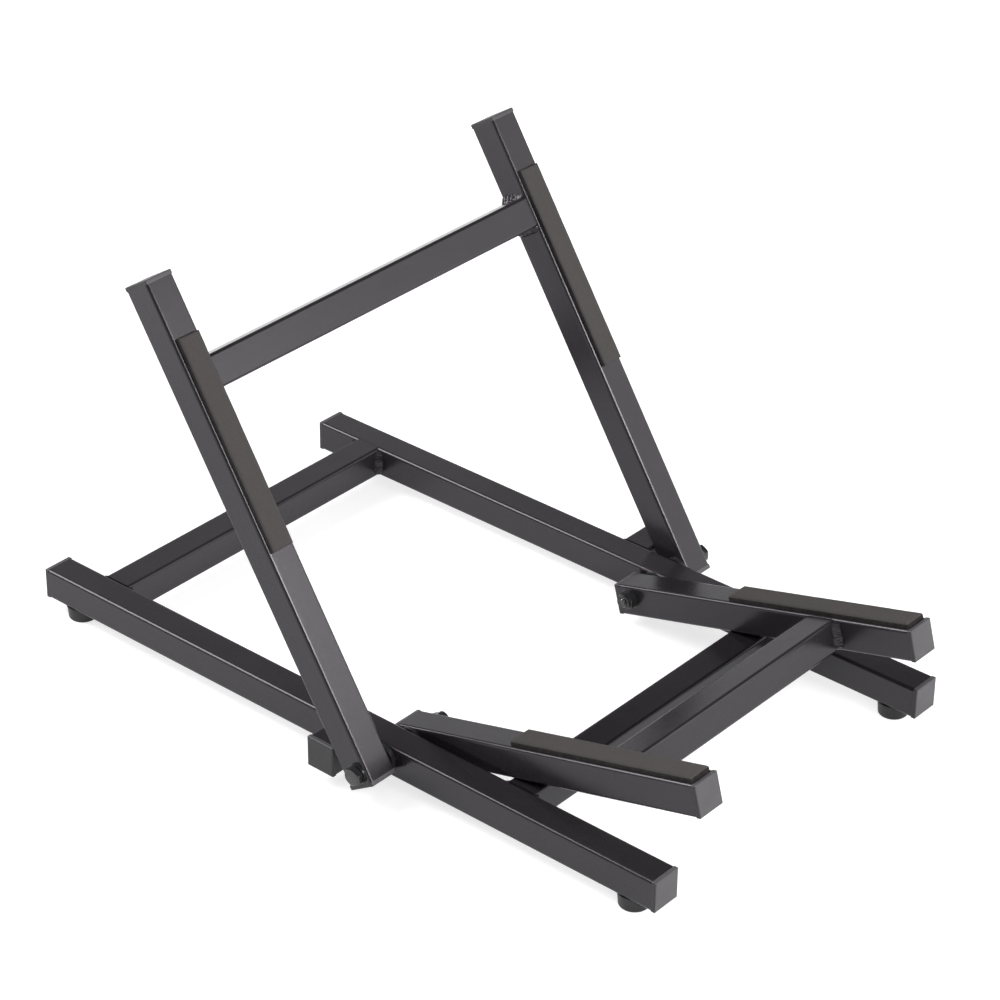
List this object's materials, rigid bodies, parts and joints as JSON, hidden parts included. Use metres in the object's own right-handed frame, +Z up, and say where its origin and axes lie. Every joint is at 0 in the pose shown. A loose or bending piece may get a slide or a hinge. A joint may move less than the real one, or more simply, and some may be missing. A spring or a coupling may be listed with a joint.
{
  "type": "folding amplifier stand",
  "caption": "Low folding amplifier stand of square steel tube: a welded base on rubber feet, a backrest leaning back and support arms tilted up, both turning on one pivot line.",
  "frame": {"origin": "bottom centre of the bounding box at rest: on the floor, in the middle plane, midway between the arm tips and the rails' rear caps", "axes": "+Z up, -Y the front, where the support arms point, +X across the stand along the pivot axis; the backrest leans to +Y"},
  "size_m": [0.4088, 0.621, 0.3554],
  "materials": {
    "black_steel": "fine-textured black powder coat on welded square steel tube",
    "black_plastic": "black moulded polyethylene end caps with a soft sheen",
    "foot_rubber": "solid black moulded rubber",
    "strip_rubber": "dull brownish-black rubber anti-slip strip",
    "black_hardware": "black zinc-plated bolts, nuts, washers and screws",
    "spacer_nylon": "black nylon",
    "nut_insert": "grey nylon locking ring"
  },
  "bodies": {
    "base": {"left_rail": "black_steel", "right_rail": "black_steel", "rear_crossbar": "black_steel", "front_crossbar": "black_steel", "left_stop_stub": "black_steel", "right_stop_stub": "black_steel", "base_welds": "black_steel", "left_rail_front_cap": "black_plastic", "right_rail_front_cap": "black_plastic", "left_rail_rear_cap": "black_plastic", "right_rail_rear_cap": "black_plastic", "left_stub_cap": "black_plastic", "right_stub_cap": "black_plastic", "front_left_foot": "foot_rubber", "front_right_foot": "foot_rubber", "rear_left_foot": "foot_rubber", "rear_right_foot": "foot_rubber", "left_pivot_bolt": "black_hardware", "right_pivot_bolt": "black_hardware", "left_lock_nut": "black_hardware", "right_lock_nut": "black_hardware", "plain_washers": "black_hardware", "foot_screws": "black_hardware", "outer_spacers": "spacer_nylon", "inner_spacers": "spacer_nylon", "nut_inserts": "nut_insert"},
    "backrest": {"left_upright": "black_steel", "right_upright": "black_steel", "backrest_crossbar": "black_steel", "backrest_welds": "black_steel", "left_upright_top_cap": "black_plastic", "right_upright_top_cap": "black_plastic", "left_upright_bottom_cap": "black_plastic", "right_upright_bottom_cap": "black_plastic", "left_back_strip": "strip_rubber", "right_back_strip": "strip_rubber"},
    "support": {"left_arm": "black_steel", "right_arm": "black_steel", "arm_crossbar": "black_steel", "arm_welds": "black_steel", "left_arm_front_cap": "black_plastic", "right_arm_front_cap": "black_plastic", "left_arm_rear_cap": "black_plastic", "right_arm_rear_cap": "black_plastic", "left_arm_strip": "strip_rubber", "right_arm_strip": "strip_rubber"}
  },
  "joints": [
    {"name": "backrest_fold", "type": "hinge", "parent": "base", "child": "backrest", "pos_m": [0, -0.04851, 0.0277], "axis": [1, 0, 0], "range_deg": [0, 122.4]},
    {"name": "support_fold", "type": "hinge", "parent": "base", "child": "support", "pos_m": [0, -0.04851, 0.0277], "axis": [-1, 0, 0], "range_deg": [0, 164.8]}
  ]
}
